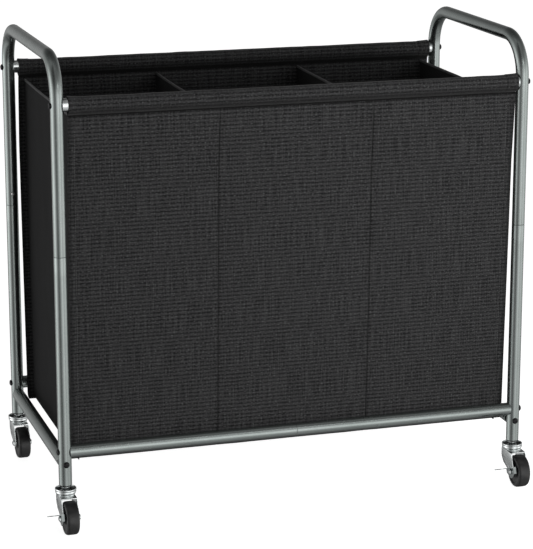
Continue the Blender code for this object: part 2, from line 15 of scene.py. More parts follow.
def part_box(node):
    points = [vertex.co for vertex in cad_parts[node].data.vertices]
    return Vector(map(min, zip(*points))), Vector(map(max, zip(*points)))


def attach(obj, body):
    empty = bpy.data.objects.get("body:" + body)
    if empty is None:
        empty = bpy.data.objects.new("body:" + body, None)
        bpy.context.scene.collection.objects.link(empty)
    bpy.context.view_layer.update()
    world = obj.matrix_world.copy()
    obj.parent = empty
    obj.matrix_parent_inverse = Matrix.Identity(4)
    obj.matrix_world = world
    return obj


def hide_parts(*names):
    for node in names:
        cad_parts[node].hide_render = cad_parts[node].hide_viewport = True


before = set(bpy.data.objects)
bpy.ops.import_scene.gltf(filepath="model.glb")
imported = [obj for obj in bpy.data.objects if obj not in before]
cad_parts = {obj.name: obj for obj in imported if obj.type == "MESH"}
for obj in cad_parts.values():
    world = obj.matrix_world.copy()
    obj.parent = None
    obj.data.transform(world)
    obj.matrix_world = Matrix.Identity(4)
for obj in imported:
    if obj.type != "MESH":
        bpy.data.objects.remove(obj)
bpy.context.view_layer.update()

# ---- Sizes, read from the frame where it has them ------------------------------------------
TAGS = {"fl": (-1, -1), "fr": (1, -1), "rl": (-1, 1), "rr": (1, 1)}
SIDES = (("left", -1), ("right", 1))


def middle(node):
    low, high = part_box(node)
    return (low + high) / 2


CENTRE = (middle("lower_leg_fl") + middle("lower_leg_rr")) / 2
CENTRE.z = 0.0
LEG_X = (middle("lower_leg_rr") - middle("lower_leg_fl")).x / 2
LEG_Y = (middle("lower_leg_rr") - middle("lower_leg_fl")).y / 2
TUBE_R = (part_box("lower_leg_fl")[1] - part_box("lower_leg_fl")[0]).x / 2
LEG_BOTTOM_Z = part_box("lower_leg_fl")[0].z
SEAM_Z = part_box("left_handle_frame")[0].z
HANDLE_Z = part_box("left_handle_frame")[1].z - TUBE_R
ROD_Z = middle("front_rod").z
RAIL_Z = middle("front_rail_left").z
SIDE_RAIL_Z = middle("left_side_rail").z
AXLE = middle("caster_wheel_fl") - CENTRE - Vector((-LEG_X, -LEG_Y, 0))

GAP = 0.0003
WELD = 0.000005
TUBE_WALL = 0.0009
TUBE_SIDES = 48
HANDLE_BEND_R = 0.066
SADDLE = 0.0075
BUTTON_Z = SEAM_Z + 0.021

CLOTH = 0.0012
BAG_HALF_WIDTH = 0.386
SIDE_PANEL_X = 0.373
DIVIDER_X = 0.133
RIM_Z = 0.6950
BAG_BOTTOM_Z = 0.110
BAG_TOP_Y = 0.2045
BAG_BOTTOM_Y = 0.1860
TAPER_TOP_Z = 0.690
CROSS_TOP_Z = 0.6890
SLEEVE_R = 0.0121
SLEEVE_SPANS = {-1: (-0.3838, 0.3895), 1: (-0.3838, 0.3872)}
SLEEVE_HEM = 0.020
PANEL_HEM = 0.011
HEM_STITCH = 0.0125
STITCH_PITCH, STITCH_LENGTH, STITCH_R = 0.0042, 0.0030, 0.00030

FORK_HALF_WIDTH = 0.0138
FORK_SHEET = 0.0016
FORK_TOP_Z = 0.0604
CROWN_RIM_Z = 0.0697
CROWN_R = 0.018
PIVOT_R = 0.0045
WHEEL_R = 0.0281
WHEEL_HALF_WIDTH = 0.011
AXLE_R = 0.003
PEDAL_SLOPE = math.radians(21.0)
PEDAL_REACH = 0.0325
PEDAL_SHEET = 0.0014

X_AXIS = (0.0, math.pi / 2, 0.0)
Y_AXIS = (-math.pi / 2, 0.0, 0.0)
ACROSS = (math.pi / 2, 0.0, math.pi / 2)


# ---- Material helpers ----------------------------------------------------------------------
def add_node(tree, kind, inputs=None, **settings):
    """A shader node with its settings made, and its inputs linked or given values."""
    made = tree.nodes.new("ShaderNode" + kind)
    for key, value in settings.items():
        setattr(made, key, value)
    for key, value in (inputs or {}).items():
        if isinstance(value, bpy.types.NodeSocket):
            tree.links.new(value, made.inputs[key])
        else:
            made.inputs[key].default_value = value
    return made


class Shader:
    """A material's node tree, with short calls for the nodes that the finishes share."""

    def __init__(self, name, **surface):
        self.material = bpy.data.materials.new(name)
        self.material.use_nodes = True
        self.tree = self.material.node_tree
        self.surface = self.tree.nodes["Principled BSDF"]
        for key, value in surface.items():
            self.set(key.replace("_", " "), value)

    def set(self, key, value):
        socket = self.surface.inputs[key]
        if isinstance(value, bpy.types.NodeSocket):
            self.tree.links.new(value, socket)
        elif isinstance(value, tuple) and len(value) == 3:
            socket.default_value = (*value, 1.0)
        else:
            socket.default_value = value

    def node(self, kind, inputs=None, **settings):
        return add_node(self.tree, kind, inputs, **settings)

    def math(self, operation, a, b=0.0):
        return self.node("Math", {0: a, 1: b}, operation=operation).outputs[0]

    def total(self, *terms):
        """The sum of (value, weight) terms."""
        parts = [self.math("MULTIPLY", value, weight) for value, weight in terms]
        whole = parts[0]
        for part in parts[1:]:
            whole = self.math("ADD", whole, part)
        return whole

    def coords(self, scale=(1, 1, 1), source="Object"):
        """The object's own coordinates, or the cloth's flat ones, in metres times scale."""
        place = self.node("TexCoord").outputs[source]
        return self.node("Mapping", {"Vector": place, "Scale": scale}).outputs["Vector"]

    def noise(self, scale, detail=2.0, stretch=(1, 1, 1), source="Object", roughness=0.5):
        """Noise with about `scale` cells to a metre."""
        inputs = {"Vector": self.coords(stretch, source), "Scale": scale, "Detail": detail,
                  "Roughness": roughness}
        return self.node("TexNoise", inputs).outputs["Fac"]

    def span(self, value, low, high, to_low=0.0, to_high=1.0):
        """Maps a value's range low to high onto another, clamped."""
        inputs = {"Value": value, "From Min": low, "From Max": high, "To Min": to_low,
                  "To Max": to_high}
        return self.node("MapRange", inputs).outputs["Result"]

    def blend(self, factor, a, b):
        a, b = [(*c, 1.0) if isinstance(c, tuple) and len(c) == 3 else c for c in (a, b)]
        return self.node("Mix", {0: factor, 6: a, 7: b}, data_type="RGBA").outputs[2]

    def bump(self, height, strength, distance):
        inputs = {"Height": height, "Strength": strength, "Distance": distance}
        self.set("Normal", self.node("Bump", inputs).outputs["Normal"])


def gunmetal():
    """Satin powder coat: fine orange peel, and faint handling marks in the gloss."""
    s = Shader("gunmetal_paint", Metallic=0.92)
    tone = s.noise(26.0, 3.0, (1, 1, 0.5))
    speck = s.noise(2600.0, 1.0)
    base = s.blend(s.span(tone, 0.3, 0.7), (0.275, 0.305, 0.295), (0.315, 0.345, 0.335))
    s.set("Base Color", s.blend(s.span(speck, 0.62, 0.75), base, (0.40, 0.43, 0.42)))
    marks = s.span(s.noise(90.0, 4.0, (1, 1, 0.25)), 0.35, 0.75, 0.21, 0.29)
    s.set("Roughness", marks)
    s.bump(s.noise(900.0, 2.0), 0.05, 0.0002)
    return s.material


def zinc(name="zinc_plate", colour=(0.84, 0.87, 0.865), dull=(0.62, 0.65, 0.65)):
    """Bright zinc: cloudy passivation and fine drawn lines from the press."""
    s = Shader(name, Metallic=1.0)
    cloud = s.noise(160.0, 3.0)
    grain = s.noise(1500.0, 1.0, (1, 1, 0.12))
    s.set("Base Color", s.blend(s.span(cloud, 0.35, 0.7), colour, dull))
    s.set("Roughness", s.span(cloud, 0.3, 0.8, 0.17, 0.36))
    s.bump(grain, 0.08, 0.0001)
    return s.material


def black_steel():
    s = Shader("black_steel", Metallic=0.6)
    worn = s.span(s.noise(700.0, 2.0), 0.6, 0.75)
    s.set("Base Color", s.blend(worn, (0.012, 0.012, 0.013), (0.09, 0.09, 0.095)))
    s.set("Roughness", s.span(s.noise(400.0), 0.3, 0.7, 0.3, 0.45))
    return s.material


def plug_plastic():
    s = Shader("plug_plastic", Roughness=0.5)
    s.set("Base Color", s.blend(s.noise(300.0), (0.018, 0.018, 0.019), (0.03, 0.03, 0.031)))
    s.bump(s.noise(1800.0, 1.0), 0.15, 0.0002)
    return s.material


def wheel_rubber():
    """Moulded black tread: a soft bloom of dust, and fine turned lines round the axle."""
    s = Shader("wheel_rubber", Specular_IOR_Level=0.5)
    dust = s.span(s.noise(120.0, 4.0), 0.45, 0.75)
    s.set("Base Color", s.blend(dust, (0.016, 0.016, 0.0165), (0.036, 0.035, 0.034)))
    s.set("Roughness", s.span(s.noise(60.0, 3.0), 0.3, 0.7, 0.36, 0.5))
    rings = s.node("TexWave", {"Vector": s.coords(), "Scale": 260.0, "Distortion": 0.4},
                   wave_type="RINGS", rings_direction="Z").outputs["Fac"]
    s.bump(s.math("ADD", rings, s.noise(2400.0, 2.0)), 0.1, 0.0002)
    return s.material


def yarns(s, pitch, wobble, index):
    """0 to 1 across each yarn, for yarns laid side by side along one flat direction."""
    axes = s.node("SeparateXYZ", {"Vector": s.coords(source="UV")}).outputs
    drift = s.math("MULTIPLY", s.math("SUBTRACT", s.noise(30.0, 2.0, source="UV"), 0.5), wobble)
    turn = s.math("MULTIPLY", s.math("ADD", axes[index], drift), 2 * math.pi / pitch)
    return s.span(s.math("SINE", turn), -1.0, 1.0)


def panel_cloth(name, dark, mid, light):
    """Slub-woven polyester: thick uneven weft rows over fine warp, with pale flecks; a mask stored
    on the mesh adds painted shade.
    """
    s = Shader(name, Roughness=0.82)
    rows = yarns(s, 0.0066, 0.0012, 1)
    weft = yarns(s, 0.00165, 0.0006, 1)
    warp = yarns(s, 0.0015, 0.0004, 0)
    slubs = s.noise(1.0, 3.0, (50, 420, 1), "UV")
    threads = s.noise(1.0, 2.0, (560, 15, 1), "UV")
    flecks = s.noise(1.0, 2.0, (280, 520, 1), "UV")
    body = s.total((rows, 0.60), (s.span(slubs, 0.3, 0.7), 0.28),
                   (s.span(threads, 0.36, 0.64), 0.40), (s.math("MULTIPLY", weft, warp), 0.12))
    ground = s.blend(s.span(body, 0.25, 1.2), dark, mid)
    woven = s.blend(s.span(flecks, 0.54, 0.74, 0.0, 0.7), ground, light)
    # Painted shade: the mask stored on the mesh darkens the woven colour towards near-black at seam
    # and hem lines, across the sleeve's lower half, just under the sleeve and at the panel's side
    # edges.
    painted_shade = s.node("Attribute", attribute_name="painted_shade").outputs["Fac"]
    s.set("Base Color", s.blend(painted_shade, woven, (0.003, 0.003, 0.003)))
    s.set("Sheen Weight", 0.12)
    s.set("Sheen Roughness", 0.45)
    s.set("Specular IOR Level", 0.25)
    s.bump(s.total((rows, 0.7), (weft, 0.35), (warp, 0.3), (slubs, 1.0)), 0.35, 0.0005)
    return s.material


CHECK_PITCH = 0.0064


def side_cloth(name, dark, light):
    """Finer plain cloth with a small diagonal check."""
    s = Shader(name, Roughness=0.8)
    axes = s.node("SeparateXYZ", {"Vector": s.coords(source="UV")}).outputs
    waves = []
    for sign in ("ADD", "SUBTRACT"):
        turn = s.math("MULTIPLY", s.math(sign, axes[0], axes[1]), 2 * math.pi / CHECK_PITCH)
        waves.append(s.span(s.math("SINE", turn), -1.0, 1.0))
    check = s.math("MULTIPLY", waves[0], waves[1])
    warp = yarns(s, 0.0009, 0.0002, 0)
    weft = yarns(s, 0.0009, 0.0002, 1)
    soft = s.total((check, 1.0), (s.noise(900.0, 2.0, source="UV"), 0.4))
    s.set("Base Color", s.blend(s.span(soft, 0.2, 1.1), dark, light))
    s.set("Sheen Weight", 0.04)
    s.set("Sheen Roughness", 0.5)
    s.set("Specular IOR Level", 0.12)
    s.bump(s.total((warp, 0.5), (weft, 0.5), (check, 0.4)), 0.3, 0.0003)
    return s.material


def tape_cloth():
    """Ribbed grosgrain tape that binds the cut edges."""
    s = Shader("binding_tape", Roughness=0.7)
    ribs = yarns(s, 0.0011, 0.0001, 0)
    s.set("Base Color", s.blend(ribs, (0.06, 0.06, 0.062), (0.11, 0.11, 0.113)))
    s.set("Sheen Weight", 0.15)
    s.bump(ribs, 0.4, 0.0003)
    return s.material


def thread_material(name, dark, light):
    s = Shader(name, Roughness=0.6)
    twist = s.noise(3000.0, 1.0)
    s.set("Base Color", s.blend(twist, (dark, dark, dark), (light, light, light)))
    return s.material


# Each look is a material and the slot that it stands for.
GUNMETAL = gunmetal(), "gunmetal_paint"
ZINC = zinc(), "zinc_plate"
LEVER_ZINC = zinc("lever_zinc", (0.46, 0.49, 0.485), (0.30, 0.33, 0.325)), "zinc_plate"
SPRING = zinc("spring_steel", (0.66, 0.66, 0.65), (0.5, 0.5, 0.49)), "spring_steel"
BLACK_STEEL = black_steel(), "black_steel"
PLUG = plug_plastic(), "plug_plastic"
RUBBER = wheel_rubber(), "wheel_rubber"
PANEL = panel_cloth("panel_cloth", (0.006, 0.006, 0.0063), (0.064, 0.064, 0.065),
                    (0.15, 0.15, 0.152)), "panel_cloth"
SIDE = side_cloth("side_cloth", (0.010, 0.010, 0.0103), (0.044, 0.044, 0.0445)), "side_cloth"
TAPE = tape_cloth(), "side_cloth"
THREAD = thread_material("sewing_thread", 0.06, 0.16), "panel_cloth"
DARK_THREAD = thread_material("seam_thread", 0.008, 0.022), "panel_cloth"


# ---- Mesh helpers --------------------------------------------------------------------------
def linked(name, data, at=(0, 0, 0), turn=(0, 0, 0)):
    made = bpy.data.objects.new(name, data)
    made.location = at
    made.rotation_euler = turn
    bpy.context.scene.collection.objects.link(made)
    return made


def add_piece(name, mesh, look, body, node=None, at=(0, 0, 0), turn=(0, 0, 0)):
    """A piece of a body, drawn about `at` from the cart's middle, in place of a CAD node."""
    material, slot = look
    piece = linked(name, mesh, CENTRE + Vector(at), turn)
    if not mesh.materials:
        mesh.materials.append(material)
    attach(piece, body)
    if node:
        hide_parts(node)
    return piece


def smooth(mesh, angle=35.0):
    mesh.shade_smooth()
    mesh.set_sharp_from_angle(angle=math.radians(angle))
    return mesh


def grid_mesh(name, points, around=False, uv=None):
    """A mesh through a grid of points, closed round its columns where asked."""
    points = np.asarray(points, float)
    rows, columns = points.shape[:2]
    spans = columns if around else columns - 1
    faces = []
    for i in range(rows - 1):
        for j in range(spans):
            k = (j + 1) % columns
            faces.append((i * columns + j, i * columns + k, (i + 1) * columns + k,
                          (i + 1) * columns + j))
    mesh = bpy.data.meshes.new(name)
    mesh.from_pydata(points.reshape(-1, 3).tolist(), [], faces)
    if uv is not None:
        flat = np.asarray(uv, np.float32).reshape(-1, 2)
        loops = np.zeros(len(mesh.loops), np.int32)
        mesh.loops.foreach_get("vertex_index", loops)
        layer = mesh.uv_layers.new(name="UVMap")
        layer.data.foreach_set("uv", flat[loops].ravel())
    mesh.shade_smooth()
    return mesh


def from_bmesh(bm, name):
    """A new mesh with its faces turned outwards; the bmesh goes."""
    bmesh.ops.recalc_face_normals(bm, faces=bm.faces)
    mesh = bpy.data.meshes.new(name)
    bm.to_mesh(mesh)
    bm.free()
    return mesh


def welded(mesh, turn_out=False):
    bm = bmesh.new()
    bm.from_mesh(mesh)
    bmesh.ops.remove_doubles(bm, verts=bm.verts, dist=WELD)
    if turn_out:
        bmesh.ops.recalc_face_normals(bm, faces=bm.faces)
    bm.to_mesh(mesh)
    bm.free()
    return mesh


def turned(name, profiles, steps=48):
    """A mesh turned about Z from (radius, height) profiles, each a closed outline."""
    bm = bmesh.new()
    for profile in profiles:
        on_axis = profile[0][0] == 0
        rings = []
        for r, z in profile:
            if r == 0:
                rings.append([bm.verts.new((0, 0, z))])
                continue
            angles = [2 * math.pi * i / steps for i in range(steps)]
            rings.append([bm.verts.new((r * math.cos(a), r * math.sin(a), z)) for a in angles])
        pairs = list(zip(rings, rings[1:]))
        if not on_axis:
            pairs.append((rings[-1], rings[0]))
        for upper, lower in pairs:
            for i in range(steps):
                k = (i + 1) % steps
                corners = [upper[i % len(upper)], lower[i % len(lower)], lower[k % len(lower)],
                           upper[k % len(upper)]]
                bm.faces.new(list(dict.fromkeys(corners)))
    return smooth(from_bmesh(bm, name))


def disc(radius, low, high):
    return [(0.0, high), (radius, high), (radius, low), (0.0, low)]


def arc(cx, cy, radius, start, end, steps):
    """Points on an arc, with angles in degrees."""
    angles = [math.radians(start + (end - start) * i / steps) for i in range(steps + 1)]
    return [(cx + radius * math.cos(a), cy + radius * math.sin(a)) for a in angles]


def evaluated(obj):
    """The object's mesh with its modifiers applied; the object itself goes."""
    bpy.context.view_layer.update()
    depsgraph = bpy.context.evaluated_depsgraph_get()
    mesh = bpy.data.meshes.new_from_object(obj.evaluated_get(depsgraph))
    bpy.data.objects.remove(obj)
    return mesh


def holder(mesh, at=(0, 0, 0), turn=(0, 0, 0)):
    """A throwaway object to carry modifiers or to cut with."""
    return linked(mesh.name + "_holder", mesh, at, turn)


def carved(obj, *tools):
    """The object's mesh after (operation, tool) booleans in that order; all the objects go."""
    for operation, tool in tools:
        modifier = obj.modifiers.new(operation, "BOOLEAN")
        modifier.operation = operation
        modifier.solver = "EXACT"
        modifier.object = tool
    mesh = welded(evaluated(obj))
    for _, tool in tools:
        bpy.data.objects.remove(tool)
    return mesh


def solidified(mesh, thickness, offset):
    obj = holder(mesh)
    solidify = obj.modifiers.new("thickness", "SOLIDIFY")
    solidify.thickness = thickness
    solidify.offset = offset
    solidify.use_even_offset = True
    return evaluated(obj)


def rounded(mesh, width, segments=2, angle=30.0):
    """The mesh with its sharp edges rounded off."""
    obj = holder(mesh)
    bevel = obj.modifiers.new("edges", "BEVEL")
    bevel.width = width
    bevel.segments = segments
    bevel.limit_method = "ANGLE"
    bevel.angle_limit = math.radians(angle)
    return smooth(welded(evaluated(obj)), 40.0)


def outline_mesh(name, outlines, thickness):
    """A flat outline in the XY plane, holes after it, given a thickness about that plane."""
    curve = bpy.data.curves.new(name, "CURVE")
    curve.dimensions = "2D"
    curve.fill_mode = "BOTH"
    curve.extrude = thickness / 2
    for points in outlines:
        spline = curve.splines.new("POLY")
        spline.points.add(len(points) - 1)
        for point, (x, y) in zip(spline.points, points):
            point.co = (x, y, 0.0, 1.0)
        spline.use_cyclic_u = True
    return welded(evaluated(linked(name, curve)))


def strip_mesh(name, path, low, high, thickness):
    """A bent strip: an (x, z) path drawn out along Y from low to high, then thickened."""
    rows = [[(x, y, z) for x, z in path] for y in (low, high)]
    return welded(solidified(grid_mesh(name, rows), thickness, -1.0))


def box_mesh(name, low, high):
    bm = bmesh.new()
    bmesh.ops.create_cube(bm, size=1.0)
    low, high = Vector(low), Vector(high)
    bmesh.ops.scale(bm, verts=bm.verts, vec=high - low)
    bmesh.ops.translate(bm, verts=bm.verts, vec=(high + low) / 2)
    return from_bmesh(bm, name)


# ---- Frame tubes ---------------------------------------------------------------------------
def rings_along(path, radii, sides=TUBE_SIDES):
    """Rings square to a path in the YZ plane, one for each of its points."""
    path = np.asarray(path, float)
    along = np.gradient(path, axis=0)
    along /= np.linalg.norm(along, axis=1)[:, None]
    angles = np.arange(sides) * 2 * math.pi / sides
    rings = np.zeros((len(path), sides, 3))
    for i, ((y, z), (ty, tz), radius) in enumerate(zip(path, along, radii)):
        rings[i, :, 0] = radius * np.cos(angles)
        rings[i, :, 1] = y - tz * radius * np.sin(angles)
        rings[i, :, 2] = z + ty * radius * np.sin(angles)
    return rings


def tube_shell(name, path, ease=0.0005):
    """An open-ended tube along a YZ path, with its wall and eased outer rims."""
    path = np.asarray(path, float)
    first, last = path[0], path[-1]
    step_in = (path[1] - first) / np.linalg.norm(path[1] - first) * ease
    step_out = (path[-2] - last) / np.linalg.norm(path[-2] - last) * ease
    outer = np.vstack([first, first + step_in, path[1:-1], last + step_out, last])
    radii = [TUBE_R - ease] + [TUBE_R] * (len(outer) - 2) + [TUBE_R - ease]
    inner = path[::-1]
    rings = np.concatenate([rings_along(outer, radii),
                            rings_along(inner, [TUBE_R - TUBE_WALL] * len(inner))[:, ::-1]])
    rings[len(outer):] = np.roll(rings[len(outer):], 1, axis=1)
    rings = np.concatenate([rings, rings[:1]])
    return welded(grid_mesh(name, rings, around=True), True)


def handle_path():
    bend_y, bend_z = LEG_Y - HANDLE_BEND_R, HANDLE_Z - HANDLE_BEND_R
    rise = [(-LEG_Y, SEAM_Z + (bend_z - SEAM_Z) * i / 6) for i in range(6)]
    bend = arc(-bend_y, bend_z, HANDLE_BEND_R, 180, 90, 28)
    bar = [(-bend_y + bend_y * i / 4, HANDLE_Z) for i in range(1, 5)]
    half = rise + bend + bar
    return half + [(-y, z) for y, z in reversed(half[:-1])]


def hole(at, turn, radius, low, high):
    return holder(turned("hole", [disc(radius, low, high)], 28), at, turn)


def make_handle(side, sx):
    shell = holder(tube_shell(side + "_handle_tube", handle_path()))
    cutters = [hole((0, sy * LEG_Y, BUTTON_Z), (sy * math.pi / 2, 0, 0), 0.0037, 0, 0.02)
               for sy in (-1, 1)]
    mesh = smooth(carved(shell, *[("DIFFERENCE", c) for c in cutters]), 40.0)
    add_piece(side + "_handle_tube", mesh, GUNMETAL, "root", side + "_handle_frame",
              (sx * LEG_X, 0, 0))


def leg_profile():
    """Round the lower leg: spigot, shoulder, tube, eased foot, and back up its bore."""
    spigot_r = TUBE_R - TUBE_WALL - GAP
    shoulder = SEAM_Z - GAP
    outer = [(spigot_r, SEAM_Z + 0.045), (spigot_r, shoulder), (TUBE_R - 0.0005, shoulder)]
    outer += [(TUBE_R - 0.0001, shoulder - 0.0003), (TUBE_R, shoulder - 0.0007)]
    outer += [(TUBE_R, shoulder + (LEG_BOTTOM_Z - shoulder) * i / 12) for i in range(1, 12)]
    outer += [(TUBE_R, LEG_BOTTOM_Z + 0.0005), (TUBE_R - 0.0004, LEG_BOTTOM_Z)]
    return outer + [(TUBE_R - TUBE_WALL, LEG_BOTTOM_Z), (TUBE_R - TUBE_WALL, SEAM_Z - 0.008),
                    (spigot_r - TUBE_WALL, SEAM_Z - 0.004), (spigot_r - TUBE_WALL, SEAM_Z + 0.045)]


def coped_tube(name, start, end, coped, spigot=0.0):
    """A straight tube along Z whose `coped` ends follow the round of a leg across its own X.

    start and end are its ends, or the axes of the legs that it meets."""
    angles = np.arange(TUBE_SIDES) * 2 * math.pi / TUBE_SIDES
    reach = TUBE_R + GAP
    bite = np.sqrt(np.maximum(reach ** 2 - (TUBE_R * np.sin(angles)) ** 2, SADDLE ** 2))
    rows = []

    def ring(radius, heights):
        rows.append(np.stack([radius * np.cos(angles), radius * np.sin(angles), heights], 1))

    low = start + bite if coped[0] else np.full(TUBE_SIDES, start)
    high = end - bite if coped[1] else np.full(TUBE_SIDES, end)
    ease = 0.0004
    wall = TUBE_R - TUBE_WALL
    ring(wall, low)
    ring(TUBE_R - ease, low)
    ring(TUBE_R, low + ease)
    for share in np.linspace(0.02, 0.98, 12):
        ring(TUBE_R, low + (high - low) * share)
    ring(TUBE_R, high - ease)
    ring(TUBE_R - ease, high)
    if spigot:
        ring(wall - GAP, high)
        ring(wall - GAP, high + spigot - 0.001)
        ring(wall - GAP - 0.001, high + spigot)
        ring(wall - GAP - 0.003, high + spigot)
    else:
        ring(wall, high)
        ring(wall, high - 0.004)
        ring(0.0028, high - 0.004)
        ring(0.0028, high - 0.012)
    return smooth(grid_mesh(name, np.array(rows), around=True), 40.0)


def make_rails():
    """Rails and rods: the long rails in two halves, the left one's spigot in the right."""
    for side, sx in SIDES:
        mesh = coped_tube(side + "_side_rail_tube", -LEG_Y, LEG_Y, (True, True))
        add_piece(mesh.name, mesh, GUNMETAL, "root", side + "_side_rail",
                  (sx * LEG_X, 0, SIDE_RAIL_Z), Y_AXIS)
    for stem, sy in (("front", -1), ("back", 1)):
        left = coped_tube(stem + "_rail_left_tube", -LEG_X, -GAP, (True, False), 0.040)
        right = coped_tube(stem + "_rail_right_tube", 0.0, LEG_X, (False, True))
        for side, mesh in (("left", left), ("right", right)):
            add_piece(mesh.name, mesh, GUNMETAL, "root", stem + "_rail_" + side,
                      (0, sy * LEG_Y, RAIL_Z), X_AXIS)
        mesh = coped_tube(stem + "_rod_tube", -LEG_X, LEG_X, (True, True))
        add_piece(mesh.name, mesh, ZINC, "root", stem + "_rod", (0, sy * LEG_Y, ROD_Z), X_AXIS)


def screw_mesh():
    """A domed head with a six-sided socket, over a shank that runs through the leg."""
    seat = TUBE_R + GAP
    r, top = 0.0053, seat + 0.0030
    dome = [(0.0, top), (r * 0.3, top - 0.00008), (r * 0.55, top - 0.0004)]
    dome += [(r * 0.78, top - 0.0010), (r * 0.93, top - 0.0018), (r, top - 0.0026), (r, seat)]
    obj = holder(turned("screw", [dome + [(0.0025, seat), (0.0025, -0.028), (0.0, -0.029)]], 32))
    socket = holder(turned("socket", [disc(0.0015, seat + 0.0012, top + 0.001)], 6))
    return smooth(carved(obj, ("DIFFERENCE", socket)), 40.0)


def make_screws():
    mesh = screw_mesh()
    for tag, (sx, sy) in TAGS.items():
        x, y = sx * LEG_X, sy * LEG_Y
        out_x, out_y = (0, sx * math.pi / 2, 0), (-sy * math.pi / 2, 0, 0)
        for stem, z, turn in (("rod_screw_", ROD_Z, out_x), ("rail_screw_", RAIL_Z, out_x),
                              ("side_rail_screw_", SIDE_RAIL_Z, out_y)):
            add_piece(stem + tag + "_domed", mesh, BLACK_STEEL, "root", stem + tag, (x, y, z), turn)


def make_buttons():
    tip, r = TUBE_R + 0.0022, 0.0034
    profile = [(0.0, tip), (r * 0.35, tip - 0.0001), (r * 0.65, tip - 0.0005)]
    profile += [(r * 0.87, tip - 0.0012), (r, tip - 0.0022), (r, 0.0070), (0.0048, 0.0070)]
    mesh = turned("snap_pin", [profile + [(0.0048, 0.0060), (0.0, 0.0060)]], 32)
    for tag, (sx, sy) in TAGS.items():
        at = (sx * LEG_X, sy * LEG_Y, BUTTON_Z)
        add_piece("snap_pin_" + tag, mesh, SPRING, "button_" + tag, "snap_button_" + tag, at,
                  (sy * math.pi / 2, 0, 0))


def make_frame():
    leg = turned("lower_leg_tube", [leg_profile()], TUBE_SIDES)
    for side, sx in SIDES:
        make_handle(side, sx)
    for tag, (sx, sy) in TAGS.items():
        add_piece("lower_leg_tube_" + tag, leg, GUNMETAL, "root", "lower_leg_" + tag,
                  (sx * LEG_X, sy * LEG_Y, 0))
    make_rails()
    make_screws()
    make_buttons()


# ---- Bag -----------------------------------------------------------------------------------
def bag_y(z):
    """How far the middle of the front or back panel stands from the cart's middle."""
    share = (z - BAG_BOTTOM_Z) / (TAPER_TOP_Z - BAG_BOTTOM_Z)
    return BAG_BOTTOM_Y + share * (BAG_TOP_Y - BAG_BOTTOM_Y)


def clip01(value):
    return np.clip(value, 0, 1)


def bell(value, width):
    return np.exp(-(np.asarray(value) / width) ** 2)


def spread(low, high, step, finer=()):
    """Positions from low to high, about step apart, closer at the (place, offsets) given."""
    base = np.linspace(low, high, int(round((high - low) / step)) + 1)
    extra = [place + d for place, offsets in finer for d in offsets]
    close = [place for place, offsets in finer]
    kept = [b for b in base if all(abs(b - c) > 0.005 for c in close)]
    inside = [e for e in extra if low < e < high]
    return np.array(sorted({round(v, 6) for v in [low, high, *kept, *inside]}))


def cloth_noise(x, z, seed, scale):
    """Smooth noise over a cloth, about -1 to 1, with cells of 1/scale metres."""
    grid = np.zeros(np.broadcast(x, z).shape)
    xs, zs = np.broadcast_arrays(x, z)
    for index in np.ndindex(grid.shape):
        grid[index] = noise.noise(Vector((xs[index] * scale[0], zs[index] * scale[1], seed)))
    return grid


def panel_path(step=0.006):
    """The cloth's run in (y, z): up inside, over the rod, down to the seam and the floor."""
    seam_y = bag_y(RIM_Z)
    start, end = (seam_y - 0.0007, RIM_Z + 0.0003), (seam_y + 0.0006, RIM_Z)
    loop = arc(LEG_Y, ROD_Z, SLEEVE_R, 222, -42, 34)
    tuck = ((0.0082, -0.0098), (0.0070, -0.0112), (0.0056, -0.0126), (0.0042, -0.0139),
            (0.0028, -0.0151), (0.0013, -0.0163))
    outer = [(LEG_Y + y, ROD_Z + z) for y, z in tuck]
    inner = [(LEG_Y - y * 0.9, ROD_Z + z) for y, z in tuck[::-1]]
    path = [start] + inner + loop + outer + [end]
    fall = [RIM_Z - d for d in (0.0006, 0.0014, 0.0026, 0.0045, 0.008)]
    fall += list(np.arange(RIM_Z - 0.014, BAG_BOTTOM_Z + 0.011, -step))
    path += [(bag_y(z) + 0.0004, z) for z in fall]
    corner_r = 0.009
    bottom_y = bag_y(BAG_BOTTOM_Z + corner_r) + 0.0004
    path += arc(bottom_y - corner_r, BAG_BOTTOM_Z + corner_r, corner_r, 0, -90, 6)
    path += [(bottom_y - corner_r - 0.006, BAG_BOTTOM_Z)]
    return np.array(path)


SEAM_OFFSETS = (-0.005, -0.0032, -0.0019, -0.001, -0.0004, 0.0, 0.0004, 0.001, 0.0019, 0.0032,
                0.005)


def thicken(mesh, thickness, offset=0.0):
    return smooth(solidified(mesh, thickness, offset), 50.0)


